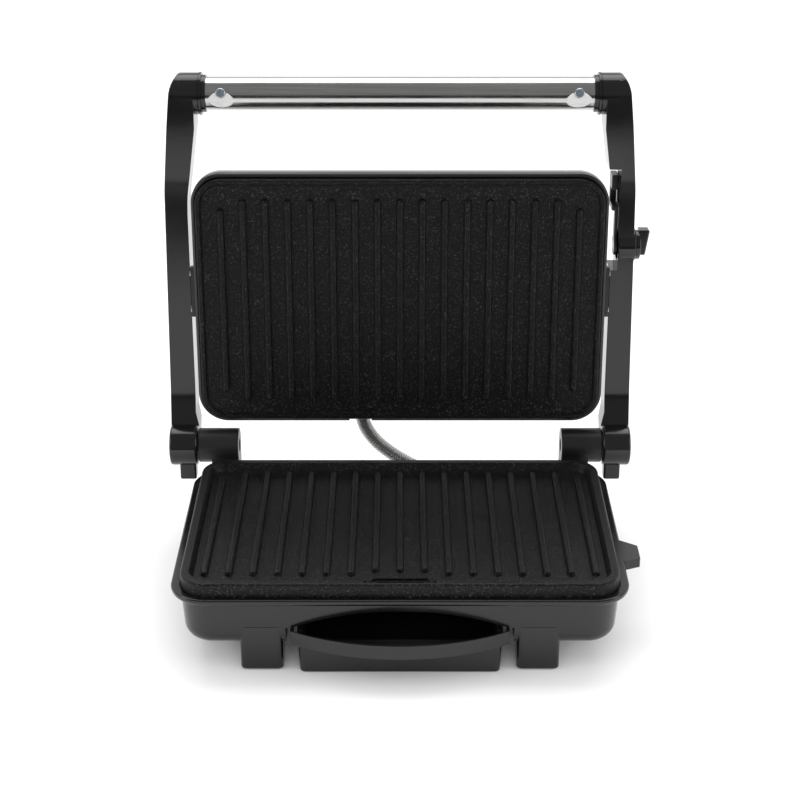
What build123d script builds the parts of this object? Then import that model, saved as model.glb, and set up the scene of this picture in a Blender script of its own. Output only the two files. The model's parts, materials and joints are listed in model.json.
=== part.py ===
from build123d import *

import math
import os

# Panini press with an open lid. Millimetres. X runs across the press, Y from its front to its back, Z up.
# The pieces are drawn about the mid-plane (X = 0), with Y = 0 at the lower plate's front edge and Z = 0 on
# the table. write_nodes() then moves them all, so that the origin is the centre of the footprint.

# --- grill plates ---------------------------------------------------------------------------------------
PLATE_WIDTH = 230.0
PLATE_DEPTH = 145.0
PLATE_CORNER = 15.0
PLATE_HEIGHT = 9.3
PLATE_BORDER = 6.5
UPPER_WIDTH = 234.6
UPPER_DEPTH = 146.2
UPPER_BORDER = 3.6
LOWER_SKIN = 3.0
UPPER_SKIN = 2.2
PLATE_TOP = 53.5
RIB_COUNT = 17
RIB_PITCH = 12.85
RIB_WIDTH = 4.2
RIB_HEIGHT = 2.5
LOWER_FIELD_DEPTH = 4.2
UPPER_FIELD_DEPTH = 2.0
LOWER_RIB_FRONT = 15.4
LOWER_RIB_REAR = 132.6
LOWER_SIDE_RIB_REAR = 127.3
UPPER_RIB_LENGTH = 123.0
UPPER_SIDE_RIB_LENGTH = 112.0
SLOT_MOUTH = 38.5
SLOT_WIDTH = 25.0
SLOT_FRONT = 2.0
SLOT_REAR = 13.5

# --- base housing ---------------------------------------------------------------------------------------
FLANGE_WIDTH = 240.6
FLANGE_DEPTH = 152.0
FLANGE_CORNER = 20.0
FLANGE_TOP = 45.8
FLANGE_THICK = 4.0
WALL_SETBACK = 4.5
WALL_TAPER = 4.0
WALL_THICK = 2.5
TUB_BOTTOM = 14.2
TUB_EDGE_RADIUS = 8.5
LEG_INNER = 61.5
LEG_OUTER = 84.0
LEG_DEPTH = 20.0
LEG_BOTTOM = 0.8
LEG_FRONT = 2.2
LEG_REAR = 151.0
PAD_WIDTH = 16.0
PAD_DEPTH = 12.0
PAD_HEIGHT = 3.2
FRONT_PAD_Y = 12.0
REAR_PAD_Y = 144.0
BAY_HALF_WIDTH = 60.0
BAY_TOP = 26.0
BAY_REAR = 124.0
SCOOP_TOP = 36.6
SCOOP_HALF_WIDTH = 57.0
SCOOP_DEPTH = 18.0
RECESS_HALF_WIDTH = 58.0
DRAIN_REAR = 12.5
LUG_FRONT = 38.0
LUG_REAR = 62.0
LUG_REACH = 129.2
LUG_THICK = 5.6

# --- drip tray ------------------------------------------------------------------------------------------
TRAY_HALF_WIDTH = 54.0
TRAY_BASE_HALF_WIDTH = 52.7
TRAY_BOTTOM = 0.5
TRAY_FRONT = -0.3
TRAY_REAR = 114.0
TRAY_WALL = 1.8
TRAY_TOP = 24.0
LIP_TOP = 25.6
LIP_BOTTOM = 17.7
LIP_BULGE = 15.4
LIP_HALF_WIDTH = 57.3
RAIL_TOP = 20.8
RAIL_HALF_WIDTH = 56.3

# --- hinge ----------------------------------------------------------------------------------------------
HINGE_Y = 164.4
HINGE_Z = 53.5
OPEN_ANGLE = 93.2
BARREL_RADIUS = 10.25
BARREL_INNER = 96.0
BARREL_OUTER = 120.0
POST_OUTER = 112.0
PIN_RADIUS = 4.0
RUNNING_GAP = 0.05
HUB_RADIUS = 12.0
HUB_INNER = 120.4
HUB_OUTER = 137.0

# --- arms, measured from the hinge axis: reach = away from it, rise = above it, with the lid closed -----
ARM_INNER = 122.3
ARM_OUTER = 137.2
ARM_OUTER_KNEE = 135.2
ARM_LOW = 10.0
ARM_HIGH = 31.0
KNEE_REACH = 154.0
TUBE_REACH = 208.0
TUBE_RISE = 18.0
TUBE_RADIUS = 9.5
TUBE_HALF_LENGTH = 112.0
SLEEVE_RADIUS = 11.8
SLEEVE_INNER = 113.2
COLLAR_INNER = 109.4
TUBE_SCREW_X = 100.7
TUBE_SCREW_TILT = 12.0
PEG_INNER = 122.0
PEG_OUTER = 131.8
PEG_REACH = 20.5

# --- lid, measured in the same way ----------------------------------------------------------------------
LID_WIDTH = 239.4
LID_NEAR = 13.6
LID_FAR = 164.8
LID_CORNER = 17.5
LID_FACE = 0.5
RIM_LOW = 4.0
RIM_HIGH = 10.5
RIM_WALL = 2.2
COVER_EDGE = 15.5
COVER_HIGH = 38.0
COVER_SHEET = 0.6
COVER_INSET = 0.3
NOTCH_X = -23.6
NOTCH_WIDTH = 13.2
PIVOT_REACH = 94.0
PIVOT_RISE = 18.0
PIVOT_RADIUS = 3.0
BLOCK_SIZE = 11.6
BRACKET_REACHES = (PIVOT_REACH - 11, PIVOT_REACH + 11)
BRACKET_SCREW_RISE = 7.4
EAR_THICK = 2.0
FLOAT_TRAVEL = 6.0
SLOT_GAP = 0.3
LAMP_SPOTS = (-11.0, 11.0)
LAMP_Y = -128.0
LAMP_RADIUS = 3.8

# --- lock knob and hook ---------------------------------------------------------------------------------
KNOB_REACH = 119.5
KNOB_RISE = 17.5
KNOB_BOSS_RADIUS = 9.8
KNOB_BOSS_OUTER = 136.8
KNOB_SHAFT_RADIUS = 3.0
KNOB_TIP = 145.2
RECESS_FACE = 126.4
RECESS_NEAR = 106.0
RECESS_FAR = 166.0

# --- link conduit ---------------------------------------------------------------------------------------
CONDUIT_RADIUS = 4.25
CONDUIT_ROUTE = [
    (-24.6, 185.2, 77.0),
    (-23.9, 185.6, 62.0),
    (-17.3, 185.4, 48.0),
    (-3.6, 183.0, 37.2),
    (13.0, 176.8, 30.6),
    (26.8, 167.0, 28.0),
    (33.5, 154.5, 27.5),
    (33.5, 143.6, 27.5),
]
BASE_GLAND_X = 33.5
BASE_GLAND_Z = 27.5
BASE_GLAND_RADIUS = 8.2
LID_GLAND_RISE = 19.5
INLET_X = -48.0
INLET_Z = 29.0
INLET_RADIUS = 8.0
GLAND_STEP = 1.2
BRACKET_SCREW_X = 98.5
BRACKET_SCREW_HEIGHTS = (26.5, 36.5)
CORD_BORE_RADIUS = 3.6

CENTRE_Y = PLATE_DEPTH / 2
LID_CENTRE = (LID_NEAR + LID_FAR) / 2
CENTRED_Z_MIN = (Align.CENTER, Align.CENTER, Align.MIN)

# From the closed lid's own frame (hinge axis at the origin, reach along -Y, rise along +Z) to the open lid.
OPENED = Pos(0, HINGE_Y, HINGE_Z) * Rot(-OPEN_ANGLE, 0, 0)

# The tube screws face the cooking side of the handle, turned a little towards the handle's far side.
TUBE_SCREW_TURN = Rot(180 - TUBE_SCREW_TILT, 0, 0)


def block(x_range, y_range, z_range):
    """A box between the given limits."""
    (x0, x1), (y0, y1), (z0, z1) = x_range, y_range, z_range
    size = (x1 - x0, y1 - y0, z1 - z0)
    return Pos((x0 + x1) / 2, (y0 + y1) / 2, (z0 + z1) / 2) * Box(*size)


def rod(radius, x0, x1, y=0.0, z=0.0):
    """A cylinder along X."""
    return Pos((x0 + x1) / 2, y, z) * Rot(0, 90, 0) * Cylinder(radius, x1 - x0)


def rounded_slab(width, depth, corner, z0, z1, y_centre, taper=0.0):
    """A slab with rounded corners, from z0 up to z1. A taper narrows it towards z1."""
    outline = RectangleRounded(width, depth, corner)
    return Pos(0, y_centre, z0) * extrude(outline, z1 - z0, taper=taper)


def side_profile(points, x0, x1):
    """A closed outline of (y, z) points, given a thickness from x0 to x1."""
    face = make_face(Polyline(*[(0, y, z) for y, z in points], close=True))
    return Pos(x0, 0, 0) * extrude(face, x1 - x0, dir=(1, 0, 0))


def both_sides(piece):
    """A right-hand piece and its mirror image."""
    return piece, mirror(piece, about=Plane.YZ)


def pan_screw(shank_radius, shank_length, head_radius, head_height):
    """A pan-head screw along Z, its shank down from the origin, with a cross recess in the head."""
    head = Cylinder(head_radius, head_height, align=CENTRED_Z_MIN)
    head = fillet(head.edges().sort_by(Axis.Z)[-1], head_height * 0.45)
    shank = Pos(0, 0, -shank_length) * Cylinder(shank_radius, shank_length, align=CENTRED_Z_MIN)
    arm = head_radius * 1.1
    cross = Box(arm, head_radius * 0.25, head_height) + Box(head_radius * 0.25, arm, head_height)
    return head + shank - Pos(0, 0, head_height) * cross


def rib(length):
    """One grill rib along Y on z = 0, round-ended, with slanted sides and a rounded top."""
    outline = SlotOverall(length, RIB_WIDTH)
    body = extrude(Rot(0, 0, 90) * outline, RIB_HEIGHT, taper=14)
    return fillet(body.edges().group_by(Axis.Z)[-1], 1.0)


# ------------------------------------------------------------------------------------------- grill plates

def plate_blank(width, depth, border, field_depth, skin):
    """A plate with its cooking side up at z = 0: a pan with a raised border, and hollow underneath."""
    body = rounded_slab(width, depth, PLATE_CORNER, -PLATE_HEIGHT, 0, 0)
    body = fillet(body.edges().group_by(Axis.Z)[-1], 1.2)
    field = RectangleRounded(width - 2 * border, depth - 2 * border, PLATE_CORNER - border)
    pan = Pos(0, 0, -field_depth) * extrude(field, field_depth + 1, taper=-25)
    under = rounded_slab(PLATE_WIDTH - 2.6 * PLATE_BORDER, PLATE_DEPTH - 2.6 * PLATE_BORDER, 6,
                         -PLATE_HEIGHT, -field_depth - skin, 0)
    return body - pan - under


def screw_places():
    """Where the plates are screwed down, from the plate's centre."""
    return [(x, y) for x in (-84, 84) for y in (-46, 46)]


def plate_bosses(field_depth, skin):
    """Screw bosses on the underside of a plate, with blind holes."""
    bosses = []
    for x, y in screw_places():
        top = -field_depth - skin + 0.5
        boss = Pos(x, y, -PLATE_HEIGHT) * Cylinder(5, top + PLATE_HEIGHT, align=CENTRED_Z_MIN)
        hole = Pos(x, y, -PLATE_HEIGHT) * Cylinder(2, PLATE_HEIGHT - field_depth - 1.2, align=CENTRED_Z_MIN)
        bosses.append((boss, hole))
    return bosses


def finish_plate(plate, field_depth, skin):
    """Add the screw bosses to a plate and drill them."""
    for boss, hole in plate_bosses(field_depth, skin):
        plate = plate + boss - hole
    return plate


def lower_plate():
    """The lower plate, in place."""
    plate = plate_blank(PLATE_WIDTH, PLATE_DEPTH, PLATE_BORDER, LOWER_FIELD_DEPTH, LOWER_SKIN)
    for number in range(RIB_COUNT):
        x = (number - (RIB_COUNT - 1) / 2) * RIB_PITCH
        rear = LOWER_SIDE_RIB_REAR if abs(number - 8) == 8 else LOWER_RIB_REAR
        front = LOWER_RIB_FRONT + (3.7 if abs(x) < SLOT_MOUTH / 2 + 1 else 0)
        middle = (front + rear) / 2 - CENTRE_Y
        plate += Pos(x, middle, -LOWER_FIELD_DEPTH - 0.02) * rib(rear - front)
    plate = finish_plate(plate, LOWER_FIELD_DEPTH, LOWER_SKIN)
    rear_y, front_y = SLOT_REAR - CENTRE_Y, SLOT_FRONT - CENTRE_Y
    mouth, throat = SLOT_MOUTH / 2, SLOT_WIDTH / 2
    corners = [(-mouth, front_y), (mouth, front_y), (throat + 1.5, rear_y), (-throat - 1.5, rear_y)]
    sump = Pos(0, 0, -LOWER_FIELD_DEPTH - 1.2) * extrude(Polygon(*corners, align=None), 10)
    drop = block((-throat, throat), (front_y + 0.6, rear_y - 1.5), (-PLATE_HEIGHT - 1, 0))
    return Pos(0, CENTRE_Y, PLATE_TOP) * (plate - sump - drop)


def upper_plate():
    """The upper plate, cooking side down, in the closed lid's frame."""
    plate = plate_blank(UPPER_WIDTH, UPPER_DEPTH, UPPER_BORDER, UPPER_FIELD_DEPTH, UPPER_SKIN)
    for number in range(RIB_COUNT):
        x = (number - (RIB_COUNT - 1) / 2) * RIB_PITCH
        length = UPPER_SIDE_RIB_LENGTH if abs(number - 8) == 8 else UPPER_RIB_LENGTH
        plate += Pos(x, 0, -UPPER_FIELD_DEPTH - 0.02) * rib(length)
    plate = finish_plate(plate, UPPER_FIELD_DEPTH, UPPER_SKIN)
    return Pos(0, -LID_CENTRE, LID_FACE) * Rot(180, 0, 0) * plate


def heating_element(z):
    """A tubular element: one long loop with both ends at the back."""
    half_width, half_depth, end_x = 88.0, 34.0, 14.0
    corners = [(-end_x, 54), (-end_x, half_depth), (-half_width, half_depth), (-half_width, -half_depth),
               (half_width, -half_depth), (half_width, half_depth), (end_x, half_depth), (end_x, 54)]
    path = FilletPolyline(*[(x, y, z) for x, y in corners], radius=10)
    section = Plane(origin=path @ 0, z_dir=path % 0) * Circle(3.2)
    return sweep(section, path=path)


def reflector(z, rim):
    """A shallow tin tray under an element, open at the plate's side; rim is its height, signed."""
    low, high = min(z, z + rim), max(z, z + rim)
    pan = rounded_slab(206, 100, 12, low, high, 0)
    z0, z1 = (low + 0.6, high) if rim > 0 else (low, high - 0.6)
    pan -= rounded_slab(204.8, 98.8, 11.4, z0, z1, 0)
    for x, y in screw_places():
        pan -= Pos(x, y, z) * Cylinder(6, 20)
    return pan


def thermostat(z0, z1):
    """A disc thermostat with two blades."""
    body = Pos(0, 0, z0) * Cylinder(8, z1 - z0, align=CENTRED_Z_MIN)
    for x in (-4, 4):
        body += block((x - 0.4, x + 0.4), (6, 14), (z0 + 1, z0 + 4))
    return body


def plate_screws(z_head, z_tip, up):
    """Four screws that hold a plate; up is 1 when their tips point up."""
    screw = pan_screw(2.0, abs(z_tip - z_head), 3.8, 2.4)
    turn = Rot(180, 0, 0) if up > 0 else Rot(0, 0, 0)
    return [Pos(x, y, z_head) * turn * screw for x, y in screw_places()]


# ------------------------------------------------------------------------------------------------- base

def tub(inset, z0):
    """The tub below the flange, its sides drawn in by inset, from z0 up to the flange's top."""
    width = FLANGE_WIDTH - 2 * (WALL_SETBACK + inset)
    depth = FLANGE_DEPTH - 2 * (WALL_SETBACK + inset)
    outline = RectangleRounded(width, depth, FLANGE_CORNER - 3 - inset)
    body = extrude(outline, FLANGE_TOP - z0, taper=WALL_TAPER)
    body = Pos(0, CENTRE_Y, FLANGE_TOP) * Rot(180, 0, 0) * body
    return fillet(body.edges().group_by(Axis.Z)[0], TUB_EDGE_RADIUS - inset)


def legs():
    """Four legs in one piece with the tub's walls."""
    pieces = []
    for y0, y1 in ((LEG_FRONT, LEG_FRONT + LEG_DEPTH), (LEG_REAR - LEG_DEPTH, LEG_REAR)):
        leg = Box(LEG_OUTER - LEG_INNER, LEG_DEPTH, TUB_BOTTOM + 12 - LEG_BOTTOM, align=CENTRED_Z_MIN)
        leg = fillet(leg.edges().filter_by(Axis.Z), 3)
        leg = fillet(leg.edges().group_by(Axis.Z)[0], 0.7)
        leg = Pos((LEG_INNER + LEG_OUTER) / 2, (y0 + y1) / 2, LEG_BOTTOM) * leg
        pieces.extend(both_sides(leg))
    return pieces


def scoop(depth):
    """The arched opening over the drip tray's lip, cut back through the front wall."""
    start, top, end = (-SCOOP_HALF_WIDTH, 0, BAY_TOP), (0, 0, SCOOP_TOP), (SCOOP_HALF_WIDTH, 0, BAY_TOP)
    face = make_face([ThreePointArc(start, top, end), Line(end, start)])
    return Pos(0, -6, 0) * extrude(face, depth + 6, dir=(0, 1, 0))


def base_hollow():
    """The space inside the tub."""
    return tub(WALL_THICK, TUB_BOTTOM + WALL_THICK)


def drain_throat():
    """The passage from the lower plate's drain slot down to the tray."""
    half = SLOT_WIDTH / 2 + 1
    return block((-half, half), (4.2, DRAIN_REAR), (BAY_TOP, 42))


def base_housing():
    """The base: a moulded tub with a flange, a lug for the lid's hook, legs, and screw posts inside."""
    flange = rounded_slab(FLANGE_WIDTH, FLANGE_DEPTH, FLANGE_CORNER, FLANGE_TOP - FLANGE_THICK, FLANGE_TOP,
                          CENTRE_Y)
    flange = fillet(flange.edges().group_by(Axis.Z)[-1], 1.0)
    flange = fillet(flange.edges().group_by(Axis.Z)[0], 2.4)
    root = FLANGE_WIDTH / 2 - 4
    lug_points = [(root, LUG_FRONT), (LUG_REACH - 8, LUG_FRONT), (LUG_REACH, LUG_FRONT + 3.4),
                  (LUG_REACH, LUG_REAR - 7.3), (root, LUG_REAR + 1.5)]
    lug = Pos(0, 0, FLANGE_TOP - LUG_THICK) * extrude(Polygon(*lug_points, align=None), LUG_THICK)
    shell = tub(0, TUB_BOTTOM) + flange + lug
    for leg in legs():
        shell += leg

    hollow = base_hollow()
    for x, y in screw_places():
        hollow -= Pos(x, y + CENTRE_Y, TUB_BOTTOM) * Cylinder(4.5, 43.9 - TUB_BOTTOM, align=CENTRED_Z_MIN)
    shell -= hollow
    shell -= block((-BAY_HALF_WIDTH, BAY_HALF_WIDTH), (-10, BAY_REAR), (-1, BAY_TOP))
    shell -= scoop(SCOOP_DEPTH)
    shell -= drain_throat()
    shell -= rounded_slab(PLATE_WIDTH + 1.4, PLATE_DEPTH + 1.4, PLATE_CORNER + 0.7,
                          PLATE_TOP - PLATE_HEIGHT - 0.3, FLANGE_TOP + 1, CENTRE_Y)
    for x, y in screw_places():
        place = Pos(x, y + CENTRE_Y, 0)
        shell -= place * Cylinder(2.2, 60, align=CENTRED_Z_MIN)
        shell -= place * Cylinder(4.3, TUB_BOTTOM + 6, align=CENTRED_Z_MIN)
    for x, z, radius in ((BASE_GLAND_X, BASE_GLAND_Z, BASE_GLAND_RADIUS), (INLET_X, INLET_Z, INLET_RADIUS)):
        shell -= Pos(x, 140, z) * Rot(90, 0, 0) * Cylinder(radius - GLAND_STEP + 0.1, 20)
    for hole in bracket_screw_holes(1.8):
        shell -= hole
    for pad in foot_pads():
        shell -= pad
    return shell


def tray_bay():
    """The inner moulding over the drip tray: roof, sides, back and rails, taller at the front."""
    outer = BAY_HALF_WIDTH + WALL_THICK
    roof = BAY_TOP + WALL_THICK
    recess_roof = SCOOP_TOP + WALL_THICK
    shell = block((-outer, outer), (-10, BAY_REAR + WALL_THICK), (TUB_BOTTOM, roof))
    shell += block((-outer, outer), (-10, SCOOP_DEPTH + WALL_THICK), (TUB_BOTTOM, recess_roof))
    shell = shell & base_hollow()
    shell -= block((-BAY_HALF_WIDTH, BAY_HALF_WIDTH), (-10, BAY_REAR), (0, BAY_TOP))
    shell -= block((-RECESS_HALF_WIDTH, RECESS_HALF_WIDTH), (-10, SCOOP_DEPTH), (0, SCOOP_TOP))
    shell -= drain_throat()
    for rail in both_sides(block((RAIL_HALF_WIDTH, BAY_HALF_WIDTH + 1), (30, 110), (RAIL_TOP - 3, RAIL_TOP))):
        shell += rail
    return shell


def foot_pads():
    """Four rubber pads let into the legs."""
    pads = []
    for y in (FRONT_PAD_Y, REAR_PAD_Y):
        pad = Box(PAD_WIDTH, PAD_DEPTH, PAD_HEIGHT, align=CENTRED_Z_MIN)
        pad = Pos((LEG_INNER + LEG_OUTER) / 2, y, 0) * pad
        pads.extend(both_sides(fillet(pad.edges().filter_by(Axis.Z), 2)))
    return pads


def hinge_bracket():
    """The right bracket: a barrel on a post that is screwed to the back of the base."""
    barrel = rod(BARREL_RADIUS, BARREL_INNER, BARREL_OUTER, HINGE_Y, HINGE_Z)
    barrel = fillet(barrel.edges().filter_by(GeomType.CIRCLE), 0.8)
    inside = PLATE_DEPTH - 9
    post_points = [(inside, 21), (inside, 41.5), (HINGE_Y - 10, 41.5), (HINGE_Y - 9, HINGE_Z),
                   (HINGE_Y + 9, HINGE_Z), (HINGE_Y + 8, 40), (HINGE_Y - 4, 21)]
    post = side_profile(post_points, BARREL_INNER, POST_OUTER) - tub(0, TUB_BOTTOM)
    bracket = barrel + post
    for hole in bracket_screw_holes(1.6):
        bracket -= hole
    return bracket - rod(PIN_RADIUS + RUNNING_GAP, BARREL_INNER - 1, BARREL_OUTER + 1, HINGE_Y, HINGE_Z)


def bracket_screw_holes(radius):
    """Holes through the base's back wall and into the hinge brackets."""
    holes = []
    for z in BRACKET_SCREW_HEIGHTS:
        hole = Pos(BRACKET_SCREW_X, 146, z) * Rot(90, 0, 0) * Cylinder(radius, 13)
        holes.extend(both_sides(hole))
    return holes


def bracket_screws():
    """Two screws through the base's back wall into each hinge bracket."""
    screw = Rot(90, 0, 0) * pan_screw(1.6, 12, 3.2, 2.0)
    screws = []
    for z in BRACKET_SCREW_HEIGHTS:
        screws.extend(both_sides(Pos(BRACKET_SCREW_X, 139.4, z) * screw))
    return screws


def gland(x, z, bore, collar_radius):
    """A grommet in the base's back wall, with its flange outside."""
    neck = Pos(x, 142, z) * Rot(90, 0, 0) * Cylinder(collar_radius - GLAND_STEP, 8)
    collar = Pos(x, 145.0, z) * Rot(90, 0, 0) * Cylinder(collar_radius, 2.6)
    hole = Pos(x, 142, z) * Rot(90, 0, 0) * Cylinder(bore, 30)
    return fillet((neck + collar).edges().filter_by(GeomType.CIRCLE).sort_by(Axis.Y)[-1], 0.8) - hole


def terminal_block():
    """A three-way terminal block on the tub's floor."""
    body = block((-40, -12), (130, 139), (29.0, 38.0))
    for x in (-35, -26, -17):
        body -= Pos(x, 134.5, 33) * Cylinder(1.8, 12, align=CENTRED_Z_MIN)
    return body


# ------------------------------------------------------------------------------------------- drip tray

def lip_outline(inset):
    """The tray lip's outline from above: a bow in front of the tray."""
    half = LIP_HALF_WIDTH - inset
    left, bow, right = (-half, TRAY_FRONT), (0, -LIP_BULGE + inset), (half, TRAY_FRONT)
    back = TRAY_FRONT + 4
    edges = [ThreePointArc(left, bow, right), Line(right, (half, back)), Line((half, back), (-half, back)),
             Line((-half, back), left)]
    return make_face(edges)


def drip_tray():
    """The drip tray, pushed home: a pan with runners and a bowed pouring lip."""
    width = 2 * TRAY_HALF_WIDTH
    pan_depth = TRAY_REAR - TRAY_FRONT
    middle = (TRAY_REAR + TRAY_FRONT) / 2
    taper = math.degrees(math.atan((TRAY_HALF_WIDTH - TRAY_BASE_HALF_WIDTH) / (TRAY_TOP - TRAY_BOTTOM)))
    pan = rounded_slab(2 * TRAY_BASE_HALF_WIDTH, pan_depth, 3, TRAY_BOTTOM, TRAY_TOP, middle, -taper)
    pan = fillet(pan.edges().group_by(Axis.Z)[0], 0.8)
    lip = Pos(0, 0, LIP_BOTTOM) * extrude(lip_outline(0), LIP_TOP - LIP_BOTTOM)
    hollow = rounded_slab(width - 2 * TRAY_WALL - 2, pan_depth - 2 * TRAY_WALL, 2, TRAY_BOTTOM + TRAY_WALL,
                          TRAY_TOP + 4, middle)
    bowl = Pos(0, 0, LIP_BOTTOM + TRAY_WALL) * extrude(lip_outline(TRAY_WALL), 20)
    tray = pan + lip
    runner = block((TRAY_HALF_WIDTH - 1, 58.7), (30, 108), (RAIL_TOP + 0.3, RAIL_TOP + 2.3))
    for side in both_sides(runner):
        tray += side
    return tray - hollow - bowl


# ------------------------------------------------------------------------------------------------- arms

def arm_solid():
    """The right arm in the closed lid's frame: the meeting of its side view and its top view."""
    side = [(8.5, 8.5), (0, 1), (-26, ARM_LOW), (-KNEE_REACH, ARM_LOW),
            (-TUBE_REACH, TUBE_RISE - SLEEVE_RADIUS), (-TUBE_REACH, TUBE_RISE + SLEEVE_RADIUS),
            (-KNEE_REACH, ARM_HIGH), (-26, ARM_HIGH)]
    face = make_face(Polyline(*[(0, y, z) for y, z in side], close=True))
    bends = [v for v in face.vertices() if round(v.Y) in (-26, -round(KNEE_REACH))]
    face = fillet(bends, 16)
    bar = Pos(100, 0, 0) * extrude(face, 40, dir=(1, 0, 0))
    bar += rod(SLEEVE_RADIUS, 100, 140, -TUBE_REACH, TUBE_RISE)
    top = [(HUB_INNER, 14), (HUB_INNER, -11), (ARM_INNER, -18), (ARM_INNER, -KNEE_REACH + 4),
           (116, -TUBE_REACH + 18), (116, -TUBE_REACH - 12), (122.5, -TUBE_REACH - 12),
           (129.6, -TUBE_REACH - 5), (ARM_OUTER_KNEE, -KNEE_REACH), (ARM_OUTER, -26), (HUB_OUTER, -11),
           (HUB_OUTER, 14)]
    plan = Pos(0, 0, -20) * extrude(Polygon(*top, align=None), 60)
    bar = bar & plan
    hub = rod(HUB_RADIUS, HUB_INNER, HUB_OUTER)
    hub = fillet(hub.edges().filter_by(GeomType.CIRCLE).sort_by(Axis.X)[-1], 3)
    peg = block((PEG_INNER, PEG_OUTER), (0, PEG_REACH), (-5, 5))
    peg = fillet(peg.edges().group_by(Axis.Y)[-1], 1.5)
    sleeve = rod(SLEEVE_RADIUS, SLEEVE_INNER, 124, -TUBE_REACH, TUBE_RISE)
    sleeve = fillet(sleeve.edges().filter_by(GeomType.CIRCLE).sort_by(Axis.X)[-1], 5)
    plug = rod(TUBE_RADIUS - 1.1, 88, SLEEVE_INNER, -TUBE_REACH, TUBE_RISE)
    return bar + hub + peg + sleeve + plug - rod(PIN_RADIUS, 118, 133)


def float_slot():
    """The pocket in an arm's inner face that a float block slides in."""
    half = BLOCK_SIZE / 2 + SLOT_GAP
    return block((ARM_INNER - 5, 131.3), (-PIVOT_REACH - half, -PIVOT_REACH + half),
                 (PIVOT_RISE - half, PIVOT_RISE + half + FLOAT_TRAVEL))


def tube_screw_hole(x):
    """The pilot hole for a tube screw, square to the tube."""
    return Pos(x, -TUBE_REACH, TUBE_RISE) * TUBE_SCREW_TURN * Pos(0, 0, -1) * Cylinder(
        1.4, 12, align=CENTRED_Z_MIN)


def left_arm():
    """The left arm: a mirrored right arm without the lock."""
    arm = arm_solid() - float_slot() - tube_screw_hole(TUBE_SCREW_X)
    return mirror(arm, about=Plane.YZ)


def right_arm():
    """The right arm, with the recess and the boss for the lock."""
    arm = arm_solid() - float_slot() - tube_screw_hole(TUBE_SCREW_X)
    arm -= block((110, RECESS_FACE), (-RECESS_FAR, -RECESS_NEAR), (0, 40))
    boss = rod(KNOB_BOSS_RADIUS, RECESS_FACE, KNOB_BOSS_OUTER, -KNOB_REACH, KNOB_RISE)
    boss = fillet(boss.edges().filter_by(GeomType.CIRCLE).sort_by(Axis.X)[-1], 1.2)
    shaft_hole = rod(KNOB_SHAFT_RADIUS + RUNNING_GAP, 120, 140, -KNOB_REACH, KNOB_RISE)
    return arm + boss - shaft_hole


def handle_tube():
    """The stainless grip tube."""
    outer = rod(TUBE_RADIUS, -TUBE_HALF_LENGTH, TUBE_HALF_LENGTH, -TUBE_REACH, TUBE_RISE)
    tube = outer - rod(TUBE_RADIUS - 1, -TUBE_HALF_LENGTH - 1, TUBE_HALF_LENGTH + 1, -TUBE_REACH, TUBE_RISE)
    for x in (-TUBE_SCREW_X, TUBE_SCREW_X):
        hole = Pos(x, -TUBE_REACH, TUBE_RISE) * TUBE_SCREW_TURN * Cylinder(1.6, 20, align=CENTRED_Z_MIN)
        tube -= hole
    return tube


def handle_collar():
    """The right stepped collar between tube and sleeve."""
    ring = rod(TUBE_RADIUS + 1.1, COLLAR_INNER, 111.9, -TUBE_REACH, TUBE_RISE)
    step = rod(SLEEVE_RADIUS + 0.3, 111.9, SLEEVE_INNER, -TUBE_REACH, TUBE_RISE)
    bore = rod(TUBE_RADIUS, COLLAR_INNER - 1, SLEEVE_INNER - 1.2, -TUBE_REACH, TUBE_RISE)
    seat = rod(TUBE_RADIUS - 1.1, COLLAR_INNER - 1, SLEEVE_INNER + 1, -TUBE_REACH, TUBE_RISE)
    return ring + step - bore - seat


def tube_screws():
    """The two screws that hold the tube to the arms' plugs."""
    screw = pan_screw(1.4, 8.5, 2.8, 1.6)
    place = TUBE_SCREW_TURN * Pos(0, 0, TUBE_RADIUS) * screw
    return [Pos(x, -TUBE_REACH, TUBE_RISE) * place for x in (-TUBE_SCREW_X, TUBE_SCREW_X)]


def hinge_pin():
    """The right hinge pin: fast in the hub, running in the barrel."""
    return rod(PIN_RADIUS, 98, 133)


def float_block():
    """The right block: it slides in its arm and carries a pivot pin of the lid."""
    half = BLOCK_SIZE / 2
    body = block((ARM_INNER + 0.4, 130.9), (-PIVOT_REACH - half, -PIVOT_REACH + half),
                 (PIVOT_RISE - half, PIVOT_RISE + half))
    return body - rod(PIVOT_RADIUS + RUNNING_GAP, 110, 140, -PIVOT_REACH, PIVOT_RISE)


# -------------------------------------------------------------------------------------------------- lid

def lid_rim():
    """The black frame round the upper plate, notched for the conduit."""
    body = rounded_slab(LID_WIDTH, LID_FAR - LID_NEAR, LID_CORNER, RIM_LOW, RIM_HIGH, -LID_CENTRE)
    body = fillet(body.edges().group_by(Axis.Z)[0], 1.6)
    opening = rounded_slab(UPPER_WIDTH + 1.4, UPPER_DEPTH + 1.4, PLATE_CORNER + 0.7, RIM_LOW - 1,
                           PLATE_HEIGHT + LID_FACE, -LID_CENTRE)
    window = rounded_slab(PLATE_WIDTH - 14, PLATE_DEPTH - 14, 10, RIM_LOW, RIM_HIGH + 1, -LID_CENTRE)
    frame = body - opening - window
    frame -= block((NOTCH_X - NOTCH_WIDTH / 2, NOTCH_X + NOTCH_WIDTH / 2), (-LID_NEAR - 2.6, -LID_NEAR + 1),
                   (RIM_LOW - 1, RIM_HIGH + 1))
    for hole in bracket_holes():
        frame -= hole
    return frame


def bracket_holes():
    """Pilot holes for the pivot brackets' screws."""
    holes = []
    for reach in BRACKET_REACHES:
        hole = rod(1.1, LID_WIDTH / 2 - 2.4, LID_WIDTH / 2 + 3, -reach, BRACKET_SCREW_RISE)
        holes.extend(both_sides(hole))
    return holes


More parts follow.
